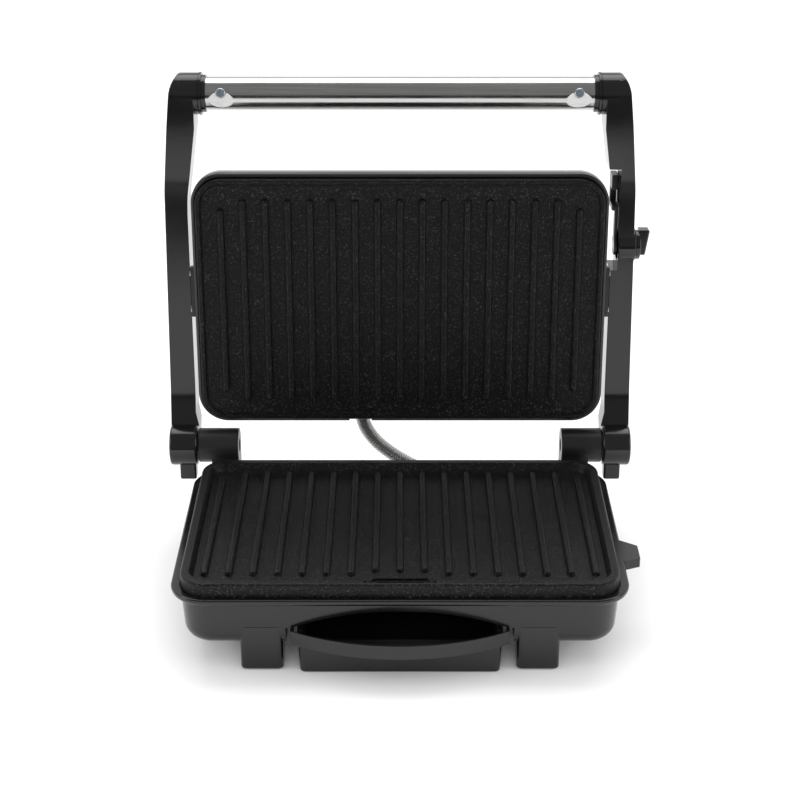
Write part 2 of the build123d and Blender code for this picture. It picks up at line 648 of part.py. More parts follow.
def cover_skin(inset):
    """The outside of the steel cover, drawn in by inset: a short upright edge, then a sloping crown."""
    width = LID_WIDTH - 2 * (COVER_INSET + inset)
    depth = LID_FAR - LID_NEAR - 2 * (COVER_INSET + inset)
    corner = LID_CORNER - COVER_INSET - inset
    crown = rounded_slab(width, depth, corner, COVER_EDGE, COVER_HIGH - inset, -LID_CENTRE, taper=32)
    crown = fillet(crown.edges().group_by(Axis.Z)[-1], 9)
    edge = rounded_slab(width, depth, corner, RIM_HIGH, COVER_EDGE, -LID_CENTRE)
    return edge + crown


def steel_cover():
    """The pressed stainless cover of the lid."""
    cover = cover_skin(0) - cover_skin(COVER_SHEET)
    notch_depth = 9.5
    cover -= block((NOTCH_X - NOTCH_WIDTH / 2, NOTCH_X + NOTCH_WIDTH / 2), (-LID_NEAR - notch_depth, 0),
                   (RIM_HIGH - 1, LID_GLAND_RISE + 6.2))
    for x in LAMP_SPOTS:
        cover -= Pos(x, LAMP_Y, COVER_HIGH - 5) * Cylinder(LAMP_RADIUS + 0.2, 10, align=CENTRED_Z_MIN)
    return cover


def lamp_lens(x):
    """A round lamp lens in the cover's crown."""
    stem = Pos(x, LAMP_Y, COVER_HIGH - 6) * Cylinder(LAMP_RADIUS, 7.2, align=CENTRED_Z_MIN)
    return fillet(stem.edges().group_by(Axis.Z)[-1], 1.0)


def lamp_bracket():
    """A strip inside the crown that carries both lamps."""
    return block((-22, 22), (LAMP_Y - 6, LAMP_Y + 6), (COVER_HIGH - 8.2, COVER_HIGH - 6))


def pivot_bracket():
    """The right ear on the rim's side, up beside the cover, that holds a pivot pin."""
    ear = [(-PIVOT_REACH - 15, RIM_LOW + 1.5), (-PIVOT_REACH + 15, RIM_LOW + 1.5),
           (-PIVOT_REACH + 15, RIM_HIGH - 1), (-PIVOT_REACH + 7, PIVOT_RISE + 6),
           (-PIVOT_REACH - 7, PIVOT_RISE + 6), (-PIVOT_REACH - 15, RIM_HIGH - 1)]
    plate = side_profile(ear, LID_WIDTH / 2, LID_WIDTH / 2 + EAR_THICK)
    for hole in bracket_holes():
        plate -= hole
    return plate - rod(PIVOT_RADIUS, 110, 130, -PIVOT_REACH, PIVOT_RISE)


def pivot_pins():
    """The two pins that the lid tilts on."""
    pin = rod(PIVOT_RADIUS, LID_WIDTH / 2 + 0.1, 130.6, -PIVOT_REACH, PIVOT_RISE)
    return list(both_sides(pin))


def rim_screws():
    """Small screws that hold the pivot brackets to the rim."""
    screw = Rot(0, 90, 0) * pan_screw(1.1, 4.0, 2.0, 0.4)
    screws = []
    for reach in BRACKET_REACHES:
        screws.extend(both_sides(Pos(LID_WIDTH / 2 + EAR_THICK, -reach, BRACKET_SCREW_RISE) * screw))
    return screws


def lid_gland():
    """The conduit's gland at the lid's hinge side."""
    x, y = CONDUIT_ROUTE[0][0], -LID_NEAR - 9.5
    sleeve = Pos(x, y, LID_GLAND_RISE) * Rot(90, 0, 0) * Cylinder(5.8, 9)
    foot = block((x - 4, x + 4), (y - 1, y + 4), (RIM_HIGH, LID_GLAND_RISE - 4))
    bore = Pos(x, y, LID_GLAND_RISE) * Rot(90, 0, 0) * Cylinder(CONDUIT_RADIUS + 0.6, 12)
    return sleeve + foot - bore


# ------------------------------------------------------------------------------------------------- lock

def lock_hook():
    """The hook lever, stowed along the arm: a thin stem and a thick claw with its mouth to the front."""
    y, z = -KNOB_REACH, KNOB_RISE
    stem = block((124.2, 126.1), (y - 24, y), (z - 3, z + 3))
    eye = rod(6.0, 124.2, 126.1, y, z)
    claw_points = [(y - 21, z - 3), (y - 24, z - 3), (y - 24, z + 8.8), (y - 32.4, z + 8.8),
                   (y - 32.4, z + 1), (y - 41, z + 1), (y - 41, z + 13), (y - 21, z + 13)]
    claw = side_profile(claw_points, 122.3, 126.1)
    return stem + eye + claw - rod(KNOB_SHAFT_RADIUS, 120, 128, y, z)


def lock_knob():
    """The winged knob and its shaft."""
    y, z = -KNOB_REACH, KNOB_RISE
    shaft = rod(KNOB_SHAFT_RADIUS, 124.2, 138, y, z)
    disc = rod(8.6, KNOB_BOSS_OUTER + 0.3, 139.6, y, z)
    disc = fillet(disc.edges().filter_by(GeomType.CIRCLE).sort_by(Axis.X)[-1], 0.8)
    wing_points = [(138.6, y - 9.6), (KNOB_TIP, y - 9.6), (142.8, y + 5.6), (138.6, y + 5.6)]
    wing = Pos(0, 0, z - 4) * extrude(Polygon(*wing_points, align=None), 8)
    wing = fillet(wing.edges().filter_by(lambda e: e.center().X > 140), 1.2)
    return shaft + disc + wing


# ---------------------------------------------------------------------------------------- link conduit

def conduit():
    """The flexible steel conduit that carries the lid's wires, at its open-lid shape."""
    radii = []
    points = [Vector(*p) for p in CONDUIT_ROUTE]
    for before, here, after in zip(points, points[1:], points[2:]):
        turn = (here - before).get_angle(after - here)
        run = min((here - before).length, (after - here).length)
        radii.append(0.45 * run / math.tan(math.radians(turn / 2)))
    path = FilletPolyline(*CONDUIT_ROUTE, radius=radii)
    section = Plane(origin=path @ 0, z_dir=path % 0) * Circle(CONDUIT_RADIUS)
    tube = sweep(section, path=path)
    print("conduit: length", round(path.length, 1), "radii", [round(r, 1) for r in radii],
          "volume ratio", round(tube.volume / (path.length * math.pi * CONDUIT_RADIUS ** 2), 4))
    return tube


# ------------------------------------------------------------------------------------------------ nodes

def base_nodes():
    """Everything that stands still, in place."""
    under = Pos(0, CENTRE_Y, 0)
    bracket_right, bracket_left = both_sides(hinge_bracket())
    return {
        "base_housing": base_housing(),
        "tray_bay": tray_bay(),
        "lower_grill_plate": lower_plate(),
        "lower_heating_element": under * heating_element(42.6),
        "lower_heat_shield": under * reflector(36.5, 2.5),
        "lower_thermostat": under * thermostat(38.2, 46.1),
        "lower_plate_screws": [under * s for s in plate_screws(TUB_BOTTOM + 6, 47.5, 1)],
        "foot_pads": foot_pads(),
        "right_hinge_bracket": bracket_right,
        "left_hinge_bracket": bracket_left,
        "hinge_bracket_screws": bracket_screws(),
        "cord_inlet_gland": gland(INLET_X, INLET_Z, CORD_BORE_RADIUS, INLET_RADIUS),
        "conduit_base_gland": gland(BASE_GLAND_X, BASE_GLAND_Z, CONDUIT_RADIUS + 0.3, BASE_GLAND_RADIUS),
        "terminal_block": terminal_block(),
        "link_conduit": conduit(),
        "drip_tray": drip_tray(),
    }


def lid_nodes():
    """Everything that moves with the arms, in the closed lid's frame."""
    collar_right, collar_left = both_sides(handle_collar())
    pin_right, pin_left = both_sides(hinge_pin())
    block_right, block_left = both_sides(float_block())
    ear_right, ear_left = both_sides(pivot_bracket())
    over = Pos(0, -LID_CENTRE, 0)
    plate_back = LID_FACE + PLATE_HEIGHT
    return {
        "left_arm": left_arm(),
        "right_arm": right_arm(),
        "handle_tube": handle_tube(),
        "right_handle_collar": collar_right,
        "left_handle_collar": collar_left,
        "handle_tube_screws": tube_screws(),
        "right_hinge_pin": pin_right,
        "left_hinge_pin": pin_left,
        "right_float_block": block_right,
        "left_float_block": block_left,
        "lid_rim": lid_rim(),
        "lid_steel_cover": steel_cover(),
        "upper_grill_plate": upper_plate(),
        "upper_heating_element": over * heating_element(9.0),
        "upper_heat_shield": over * reflector(15.5, -2.5),
        "upper_thermostat": over * Rot(180, 0, 0) * thermostat(-14.2, -5.9),
        "upper_plate_screws": [over * s for s in plate_screws(RIM_HIGH + 3, plate_back - 5.5, -1)],
        "right_pivot_bracket": ear_right,
        "left_pivot_bracket": ear_left,
        "lid_pivot_pins": pivot_pins(),
        "pivot_bracket_screws": rim_screws(),
        "conduit_lid_gland": lid_gland(),
        "lamp_bracket": lamp_bracket(),
        "power_lamp_lens": lamp_lens(LAMP_SPOTS[0]),
        "ready_lamp_lens": lamp_lens(LAMP_SPOTS[1]),
        "lock_hook": lock_hook(),
        "lock_knob": lock_knob(),
    }


def as_solids(item):
    """The separate solids of a node, given as one shape or a list of shapes."""
    shapes = item if isinstance(item, (list, tuple)) else [item]
    return [solid for shape in shapes for solid in shape.solids()]


def write_nodes():
    """Open the lid, centre the whole on its footprint, and write one file per node."""
    nodes = {name: as_solids(item) for name, item in base_nodes().items()}
    for name, item in lid_nodes().items():
        nodes[name] = [OPENED * solid for solid in as_solids(item)]
    box = Compound([solid for solids in nodes.values() for solid in solids]).bounding_box()
    centre = Pos(-(box.min.X + box.max.X) / 2, -(box.min.Y + box.max.Y) / 2, -box.min.Z)
    os.makedirs("parts", exist_ok=True)
    for name, solids in nodes.items():
        moved = [centre * solid for solid in solids]
        export_step(Compound(moved) if len(moved) > 1 else moved[0], "parts/" + name + ".step")
    for label, place in (("hinge", Pos(0, HINGE_Y, HINGE_Z)),
                         ("pivot", OPENED * Pos(0, -PIVOT_REACH, PIVOT_RISE)),
                         ("knob", OPENED * Pos(KNOB_TIP, -KNOB_REACH, KNOB_RISE))):
        print(label, (centre * place).position)
    print("moved by", centre.position, "size", box.size)


write_nodes()
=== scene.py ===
"""Panini press with an open, floating lid: the looks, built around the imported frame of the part."""

import json
import math

import bmesh
import bpy
from bpy.props import FloatProperty, FloatVectorProperty, IntProperty, PointerProperty
from mathutils import Matrix, Vector


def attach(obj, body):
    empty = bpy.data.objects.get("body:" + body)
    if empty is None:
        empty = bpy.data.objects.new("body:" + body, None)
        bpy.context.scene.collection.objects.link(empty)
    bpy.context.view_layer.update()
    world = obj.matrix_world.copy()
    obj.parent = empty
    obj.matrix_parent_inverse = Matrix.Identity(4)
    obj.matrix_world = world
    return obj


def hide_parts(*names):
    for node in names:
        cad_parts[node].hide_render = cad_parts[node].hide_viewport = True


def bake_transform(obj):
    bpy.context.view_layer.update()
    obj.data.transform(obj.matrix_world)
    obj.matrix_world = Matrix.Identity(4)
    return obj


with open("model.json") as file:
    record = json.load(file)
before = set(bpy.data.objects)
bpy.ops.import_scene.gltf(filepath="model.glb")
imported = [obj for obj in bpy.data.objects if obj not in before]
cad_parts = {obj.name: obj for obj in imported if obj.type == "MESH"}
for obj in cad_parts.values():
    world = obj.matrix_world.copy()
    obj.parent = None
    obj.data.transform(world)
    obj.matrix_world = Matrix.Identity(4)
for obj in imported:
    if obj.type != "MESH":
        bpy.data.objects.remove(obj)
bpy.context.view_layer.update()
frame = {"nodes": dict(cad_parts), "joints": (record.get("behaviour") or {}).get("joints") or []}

bl_info = {
    "name": "Panini press",
    "version": (1, 0, 0),
    "blender": (4, 5, 0),
    "location": "View3D > Sidebar > Press",
    "description": "Builds an open panini press with ribbed plates, arms, a tubular handle and a drip tray",
    "category": "Add Mesh",
}

MM = 0.001
JOINTS = {joint["name"]: joint for joint in frame["joints"]}
HINGE = Vector(JOINTS["arm_hinge"]["pos_m"])
MID_X = HINGE.x
OPENING = -math.radians(JOINTS["arm_hinge"]["range_deg"][0])

# From the closed lid's own frame (hinge axis at the origin, reach along -Y, rise along +Z) to the open lid.
OPENED = Matrix.Translation(HINGE) @ Matrix.Rotation(-OPENING, 4, "X")


# ------------------------------------------------------------------------------------- settings

class PressSizes(bpy.types.PropertyGroup):
    """Sizes that can be changed without changing the frame."""

    arm_edge: FloatProperty(
        name="Arm edge", description="Rounding of the arms' long edges",
        default=2.0 * MM, min=0.2 * MM, max=4.0 * MM, unit="LENGTH")
    small_edge: FloatProperty(
        name="Small edge", description="Rounding of the edges of the moulded parts",
        default=0.45 * MM, min=0.05 * MM, max=1.0 * MM, unit="LENGTH")
    dimple_length: FloatProperty(
        name="Dimple length", description="Length of the pressed flat around each handle screw",
        default=13.0 * MM, unit="LENGTH")
    dimple_width: FloatProperty(
        name="Dimple width", description="Width of the pressed flat around each handle screw",
        default=9.5 * MM, unit="LENGTH")
    dimple_depth: FloatProperty(
        name="Dimple depth", description="How far the flat is pressed into the tube",
        default=1.1 * MM, unit="LENGTH")
    conduit_radius: FloatProperty(
        name="Conduit radius", description="Radius of the conduit over its ribs",
        default=4.25 * MM, unit="LENGTH")
    conduit_pitch: FloatProperty(
        name="Conduit rib pitch", description="Distance from one rib of the conduit to the next",
        default=1.55 * MM, unit="LENGTH")
    round_steps: IntProperty(
        name="Rounding steps", description="Faces across a rounded edge", default=3, min=1, max=6)


class PressColours(bpy.types.PropertyGroup):
    """Colours of the finishes."""

    gloss_black: FloatVectorProperty(
        name="Gloss black", description="Moulded gloss plastic",
        subtype="COLOR", default=(0.0045, 0.0045, 0.005), min=0, max=1)
    satin_black: FloatVectorProperty(
        name="Satin black", description="Moulded satin plastic",
        subtype="COLOR", default=(0.0065, 0.0065, 0.007), min=0, max=1)
    coating: FloatVectorProperty(
        name="Non-stick coating", description="Coating of both grill plates",
        subtype="COLOR", default=(0.0035, 0.0035, 0.0038), min=0, max=1)
    stainless: FloatVectorProperty(
        name="Stainless steel", description="Handle tube, lid cover and conduit",
        subtype="COLOR", default=(0.56, 0.56, 0.55), min=0, max=1)
    zinc: FloatVectorProperty(
        name="Zinc plating", description="Screws and pins",
        subtype="COLOR", default=(0.56, 0.64, 0.72), min=0, max=1)
    tin: FloatVectorProperty(
        name="Tinned sheet", description="Heat shields and lamp strip",
        subtype="COLOR", default=(0.55, 0.56, 0.57), min=0, max=1)
    element: FloatVectorProperty(
        name="Heating element", description="Oxidised sheath of the elements",
        subtype="COLOR", default=(0.21, 0.19, 0.17), min=0, max=1)
    rubber: FloatVectorProperty(
        name="Rubber", description="Feet and grommets",
        subtype="COLOR", default=(0.014, 0.014, 0.014), min=0, max=1)
    insulator: FloatVectorProperty(
        name="Insulator", description="Terminal block and thermostats",
        subtype="COLOR", default=(0.62, 0.56, 0.46), min=0, max=1)
    red_lens: FloatVectorProperty(
        name="Red lens", description="Power lamp", subtype="COLOR",
        default=(0.55, 0.02, 0.015), min=0, max=1)
    green_lens: FloatVectorProperty(
        name="Green lens", description="Ready lamp", subtype="COLOR",
        default=(0.02, 0.42, 0.07), min=0, max=1)
    floor: FloatVectorProperty(
        name="Floor", description="Studio floor", subtype="COLOR",
        default=(0.93, 0.93, 0.93), min=0, max=1)


def sizes():
    """The sizes set in the panel."""
    return bpy.context.scene.press_sizes


def colours():
    """The colours set in the panel."""
    return bpy.context.scene.press_colours


# ------------------------------------------------------------------------------- modelling tools

def only(piece):
    """Select one object and make it the active one."""
    bpy.ops.object.select_all(action="DESELECT")
    piece.select_set(True)
    bpy.context.view_layer.objects.active = piece


def settle(piece):
    """Put an object's place, turn and scale into its mesh."""
    only(piece)
    bpy.ops.object.transform_apply(location=True, rotation=True, scale=True)
    return piece


def added(name):
    """Name the primitive that was just added."""
    piece = bpy.context.object
    piece.name = name
    piece.data.name = name
    return settle(piece)


def modify(piece, kind, **values):
    """Add a modifier with the given values and apply it."""
    modifier = piece.modifiers.new(kind.title(), kind)
    for key, value in values.items():
        setattr(modifier, key, value)
    only(piece)
    bpy.ops.object.modifier_apply(modifier=modifier.name)
    return piece


def face_outwards(piece):
    """Make a closed mesh's faces all point outwards."""
    only(piece)
    bpy.ops.object.mode_set(mode="EDIT")
    bpy.ops.mesh.select_all(action="SELECT")
    bpy.ops.mesh.remove_doubles(threshold=0.002 * MM)
    bpy.ops.mesh.normals_make_consistent(inside=False)
    bpy.ops.object.mode_set(mode="OBJECT")
    return piece


def box(name, low, high):
    """A box between two corners, in millimetres in the closed lid's frame."""
    bpy.ops.object.select_all(action="DESELECT")
    low, high = Vector(low) * MM, Vector(high) * MM
    bpy.ops.mesh.primitive_cube_add(size=1, location=(low + high) / 2, scale=high - low)
    return added(name)


def drum(name, radius, x0, x1, reach=0.0, rise=0.0, faces=96):
    """A cylinder along X, in millimetres in the closed lid's frame."""
    bpy.ops.object.select_all(action="DESELECT")
    bpy.ops.mesh.primitive_cylinder_add(
        vertices=faces, radius=radius * MM, depth=(x1 - x0) * MM,
        location=((x0 + x1) / 2 * MM, -reach * MM, rise * MM), rotation=(0, math.pi / 2, 0))
    return added(name)


def loft(name, sections):
    """A closed skin through sections of equal corner count: a filled circle, shaped and extruded on."""
    bpy.ops.object.select_all(action="DESELECT")
    bpy.ops.mesh.primitive_circle_add(vertices=len(sections[0]), fill_type="NGON")
    piece = added(name)
    bpy.ops.object.mode_set(mode="EDIT")
    mesh = bmesh.from_edit_mesh(piece.data)
    for corner, point in zip(mesh.faces[:][0].verts, sections[0]):
        corner.co = Vector(point) * MM
    bmesh.update_edit_mesh(piece.data)
    for before, after in zip(sections, sections[1:]):
        bpy.ops.mesh.extrude_region_move()
        mesh = bmesh.from_edit_mesh(piece.data)
        for corner in [v for v in mesh.verts if v.select]:
            nearest = min(range(len(before)), key=lambda i: (Vector(before[i]) * MM - corner.co).length)
            corner.co = Vector(after[nearest]) * MM
        bmesh.update_edit_mesh(piece.data)
    bpy.ops.object.mode_set(mode="OBJECT")
    return face_outwards(piece)


def rounded(piece, width, steps=None, angle=40.0):
    """Round every edge sharper than the angle."""
    return modify(piece, "BEVEL", width=width, segments=steps or sizes().round_steps,
                  limit_method="ANGLE", angle_limit=math.radians(angle), use_clamp_overlap=True)


def combine(piece, other, operation="UNION"):
    """Add another solid to a piece, or cut it away, and remove the other."""
    modify(piece, "BOOLEAN", operation=operation, object=other, solver="EXACT")
    bpy.data.objects.remove(other)
    return piece


def shade(piece, angle=32.0):
    """Smooth shading that keeps true edges, with flat faces kept flat."""
    only(piece)
    bpy.ops.object.shade_smooth_by_angle(angle=math.radians(angle))
    return modify(piece, "WEIGHTED_NORMAL", keep_sharp=True, weight=60)


def mirrored(piece, name):
    """A copy on the other side of the mid-plane, while still in the closed lid's frame."""
    twin = piece.copy()
    twin.data = piece.data.copy()
    twin.name = name
    twin.data.name = name
    bpy.context.scene.collection.objects.link(twin)
    twin.scale = (-1, 1, 1)
    return face_outwards(settle(twin))


def opened(piece):
    """Carry a piece from the closed lid's frame to the open lid."""
    piece.matrix_world = OPENED
    return settle(piece)


def node_copy(node, name):
    """A merged copy of a CAD node's mesh, with its flat faces whole, to be finished by hand."""
    source = frame["nodes"][node]
    piece = bpy.data.objects.new(name, source.data.copy())
    piece.data.name = name
    piece.data.materials.clear()
    bpy.context.scene.collection.objects.link(piece)
    only(piece)
    if piece.data.has_custom_normals:
        bpy.ops.mesh.customdata_custom_splitnormals_clear()
    bpy.ops.object.mode_set(mode="EDIT")
    bpy.ops.mesh.select_all(action="SELECT")
    bpy.ops.mesh.remove_doubles(threshold=0.001 * MM)
    bpy.ops.mesh.dissolve_limited(angle_limit=math.radians(0.4))
    bpy.ops.object.mode_set(mode="OBJECT")
    return piece


def placed(piece, material, body, slot, *nodes):
    """Give a finished piece its material and body, and hide the CAD nodes it stands for; slot is not used."""
    piece.data.materials.clear()
    piece.data.materials.append(material)
    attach(piece, body)
    if nodes:
        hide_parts(*nodes)
    return piece


def softened(node, name, finish, body, slot):
    """A CAD node's shape with its moulded edges rounded, in place of the node."""
    piece = rounded(node_copy(node, name), sizes().small_edge, 2, 35)
    return placed(shade(piece), finish_of(finish), body, slot, node)


def coat(material, *nodes):
    """Give CAD nodes that keep their own shape a material."""
    for node in nodes:
        mesh = frame["nodes"][node].data
        mesh.materials.clear()
        mesh.materials.append(material)


# ------------------------------------------------------------------------------- shader tools

def shader_node(tree, kind, values=None, **attributes):
    """Add a node, with the given socket values and attributes."""
    node = tree.nodes.new(kind)
    for key, value in attributes.items():
        setattr(node, key, value)
    for key, value in (values or {}).items():
        node.inputs[key].default_value = value
    return node


def blank_group(name, inputs, outputs):
    """A node group with float, vector or colour sockets, and its input and output nodes."""
    tree = bpy.data.node_groups.new(name, "ShaderNodeTree")
    kinds = {"v": "NodeSocketVector", "f": "NodeSocketFloat", "c": "NodeSocketColor"}
    for label, kind in inputs:
        tree.interface.new_socket(name=label, in_out="INPUT", socket_type=kinds[kind])
    for label, kind in outputs:
        tree.interface.new_socket(name=label, in_out="OUTPUT", socket_type=kinds[kind])
    return tree, tree.nodes.new("NodeGroupInput"), tree.nodes.new("NodeGroupOutput")


def group_once(name, build):
    """A shared node group, built the first time that it is asked for."""
    return bpy.data.node_groups.get(name) or build(name)


def build_grain(name):
    """Fine moulded grain: a height for bump, and a mask of its highest grains."""
    tree, given, out = blank_group(
        name, [("Vector", "v"), ("Scale", "f")], [("Height", "f"), ("Mask", "f")])
    noise = shader_node(tree, "ShaderNodeTexNoise", {"Detail": 3.0, "Roughness": 0.6})
    ramp = shader_node(tree, "ShaderNodeMapRange", {"From Min": 0.56, "From Max": 0.7})
    tree.links.new(given.outputs["Vector"], noise.inputs["Vector"])
    tree.links.new(given.outputs["Scale"], noise.inputs["Scale"])
    tree.links.new(noise.outputs["Fac"], ramp.inputs["Value"])
    tree.links.new(noise.outputs["Fac"], out.inputs["Height"])
    tree.links.new(ramp.outputs["Result"], out.inputs["Mask"])
    return tree


def build_smudge(name):
    """Slow changes of gloss left by moulding and handling."""
    tree, given, out = blank_group(
        name, [("Vector", "v"), ("Scale", "f"), ("Glossy", "f"), ("Dull", "f")],
        [("Roughness", "f"), ("Mask", "f")])
    wide = shader_node(tree, "ShaderNodeTexNoise", {"Detail": 4.0, "Roughness": 0.55, "Distortion": 0.6})
    ramp = shader_node(tree, "ShaderNodeMapRange", {"From Min": 0.35, "From Max": 0.7})
    spread = shader_node(tree, "ShaderNodeMapRange", {"From Min": 0.0, "From Max": 1.0})
    tree.links.new(given.outputs["Vector"], wide.inputs["Vector"])
    tree.links.new(given.outputs["Scale"], wide.inputs["Scale"])
    tree.links.new(wide.outputs["Fac"], ramp.inputs["Value"])
    tree.links.new(ramp.outputs["Result"], spread.inputs["Value"])
    tree.links.new(given.outputs["Glossy"], spread.inputs["To Min"])
    tree.links.new(given.outputs["Dull"], spread.inputs["To Max"])
    tree.links.new(spread.outputs["Result"], out.inputs["Roughness"])
    tree.links.new(ramp.outputs["Result"], out.inputs["Mask"])
    return tree


def build_brushing(name):
    """Fine scratches along X: their height, and a tone from 0 to 1."""
    tree, given, out = blank_group(
        name, [("Vector", "v"), ("Fineness", "f")], [("Height", "f"), ("Tone", "f")])
    stretch = shader_node(tree, "ShaderNodeMapping", {"Scale": (0.012, 1.0, 1.0)})
    noise = shader_node(tree, "ShaderNodeTexNoise", {"Detail": 4.0, "Roughness": 0.7})
    ramp = shader_node(tree, "ShaderNodeMapRange", {"From Min": 0.3, "From Max": 0.7})
    tree.links.new(given.outputs["Vector"], stretch.inputs["Vector"])
    tree.links.new(stretch.outputs["Vector"], noise.inputs["Vector"])
    tree.links.new(given.outputs["Fineness"], noise.inputs["Scale"])
    tree.links.new(noise.outputs["Fac"], ramp.inputs["Value"])
    tree.links.new(noise.outputs["Fac"], out.inputs["Height"])
    tree.links.new(ramp.outputs["Result"], out.inputs["Tone"])
    return tree


class Finish:
    """One material under construction: Principled shader, object coordinates and short ways to wire them."""

    def __init__(self, name):
        self.material = bpy.data.materials.new(name)
        self.material.use_nodes = True
        self.tree = self.material.node_tree
        self.shader = self.tree.nodes["Principled BSDF"]
        self.place = self.tree.nodes.new("ShaderNodeTexCoord").outputs["Object"]

    def group(self, tree, **values):
        """A shared group, fed with object coordinates."""
        node = shader_node(self.tree, "ShaderNodeGroup", node_tree=tree)
        for key, value in values.items():
            node.inputs[key].default_value = value
        self.tree.links.new(self.place, node.inputs["Vector"])
        return node

    def set(self, **values):
        """Plain values of the shader; _ stands for a space."""
        for key, value in values.items():
            self.shader.inputs[key.replace("_", " ")].default_value = value

    def wire(self, socket, target):
        """Join a socket to one of the shader's."""
        self.tree.links.new(socket, self.shader.inputs[target])

    def tint(self, mask, low, high):
        """Base colour that goes from low to high with a mask."""
        mix = shader_node(self.tree, "ShaderNodeMix", data_type="RGBA")
        mix.inputs["A"].default_value = (*low, 1)
        mix.inputs["B"].default_value = (*high, 1)
        self.tree.links.new(mask, mix.inputs["Factor"])
        self.wire(mix.outputs["Result"], "Base Color")

    def bump(self, height, strength, distance):
        """Bump from a height, added to any bump already there."""
        node = shader_node(self.tree, "ShaderNodeBump", {"Strength": strength, "Distance": distance})
        self.tree.links.new(height, node.inputs["Height"])
        if self.shader.inputs["Normal"].is_linked:
            self.tree.links.new(self.shader.inputs["Normal"].links[0].from_socket, node.inputs["Normal"])
        self.wire(node.outputs["Normal"], "Normal")


def scaled(colour, factor):
    """A colour made lighter or darker."""
    return tuple(min(1.0, part * factor) for part in colour)


def plastic(name, colour, glossy, dull, grain_scale, grain_depth, lift=1.5, smudge_scale=14.0):
    """Moulded plastic with slow gloss changes and a fine grain."""
    finish = Finish(name)
    smudge = finish.group(
        group_once("Gloss changes", build_smudge), Scale=smudge_scale, Glossy=glossy, Dull=dull)
    grain = finish.group(group_once("Moulded grain", build_grain), Scale=grain_scale)
    finish.tint(smudge.outputs["Mask"], colour, scaled(colour, lift))
    finish.wire(smudge.outputs["Roughness"], "Roughness")
    finish.bump(grain.outputs["Height"], 1.0, grain_depth)
    return finish.material


def gloss_black():
    """Polished black plastic of the base and the arms."""
    return plastic("Gloss black plastic", colours().gloss_black, 0.10, 0.20, 420.0, 0.012 * MM)


def satin_black():
    """Finely textured black plastic of the tray, brackets and rim."""
    return plastic("Satin black plastic", colours().satin_black, 0.30, 0.42, 2600.0, 0.05 * MM)


def coating():
    """Matte non-stick coating: dark, with fine lighter specks and a pebbled surface."""
    finish = Finish("Non-stick coating")
    smudge = finish.group(group_once("Gloss changes", build_smudge), Scale=9.0, Glossy=0.36, Dull=0.46)
    grain = finish.group(group_once("Moulded grain", build_grain), Scale=1100.0)
    base = colours().coating
    finish.tint(grain.outputs["Mask"], base, scaled(base, 14.0))
    finish.wire(smudge.outputs["Roughness"], "Roughness")
    finish.bump(grain.outputs["Height"], 1.0, 0.3 * MM)
    finish.set(Specular_IOR_Level=0.2)
    return finish.material


def steel(name, colour, glossy, dull, fineness, depth, mottle=0.86):
    """Brushed steel: scratches along X and light mottling."""
    finish = Finish(name)
    lines = finish.group(group_once("Brushed lines", build_brushing), Fineness=fineness)
    smudge = finish.group(group_once("Gloss changes", build_smudge), Scale=30.0, Glossy=glossy, Dull=dull)
    finish.tint(lines.outputs["Tone"], scaled(colour, mottle), colour)
    finish.wire(smudge.outputs["Roughness"], "Roughness")
    finish.bump(lines.outputs["Height"], 1.0, depth)
    finish.set(Metallic=1.0)
    return finish.material


def zinc():
    """Bright blue-passivated zinc plating with a slight cloud."""
    finish = Finish("Blue zinc plating")
    smudge = finish.group(group_once("Gloss changes", build_smudge), Scale=300.0, Glossy=0.2, Dull=0.34)
    base = colours().zinc
    finish.tint(smudge.outputs["Mask"], base, scaled(base, 0.75))
    finish.wire(smudge.outputs["Roughness"], "Roughness")
    finish.set(Metallic=1.0)
    return finish.material


def tinned_sheet():
    """Tinned sheet with a faint crystal pattern."""
    finish = Finish("Tinned sheet")
    cells = shader_node(finish.tree, "ShaderNodeTexVoronoi", {"Scale": 160.0})
    finish.tree.links.new(finish.place, cells.inputs["Vector"])
    smudge = finish.group(group_once("Gloss changes", build_smudge), Scale=40.0, Glossy=0.28, Dull=0.4)
    base = colours().tin
    split = shader_node(finish.tree, "ShaderNodeSeparateColor")
    finish.tree.links.new(cells.outputs["Color"], split.inputs["Color"])
    finish.tint(split.outputs["Red"], scaled(base, 0.85), base)
    finish.wire(smudge.outputs["Roughness"], "Roughness")
    finish.set(Metallic=1.0)
    return finish.material


def oxidised_sheath():
    """Steel sheath of a heating element, browned by heat in patches."""
    finish = Finish("Oxidised sheath")
    smudge = finish.group(group_once("Gloss changes", build_smudge), Scale=60.0, Glossy=0.38, Dull=0.6)
    grain = finish.group(group_once("Moulded grain", build_grain), Scale=1800.0)
    base = colours().element
    finish.tint(smudge.outputs["Mask"], base, (base[0] * 0.8, base[1] * 0.6, base[2] * 0.42))
    finish.wire(smudge.outputs["Roughness"], "Roughness")
    finish.bump(grain.outputs["Height"], 1.0, 0.03 * MM)
    finish.set(Metallic=0.9)
    return finish.material


def rubber():
    """Dull black rubber."""
    return plastic("Black rubber", colours().rubber, 0.62, 0.78, 1800.0, 0.08 * MM, lift=1.8)


def insulator():
    """Pale moulded insulator with darker filler specks."""
    finish = Finish("Moulded insulator")
    smudge = finish.group(group_once("Gloss changes", build_smudge), Scale=50.0, Glossy=0.42, Dull=0.55)
    grain = finish.group(group_once("Moulded grain", build_grain), Scale=900.0)
    base = colours().insulator
    finish.tint(grain.outputs["Mask"], base, scaled(base, 0.6))
    finish.wire(smudge.outputs["Roughness"], "Roughness")
    finish.bump(grain.outputs["Height"], 1.0, 0.03 * MM)
    return finish.material


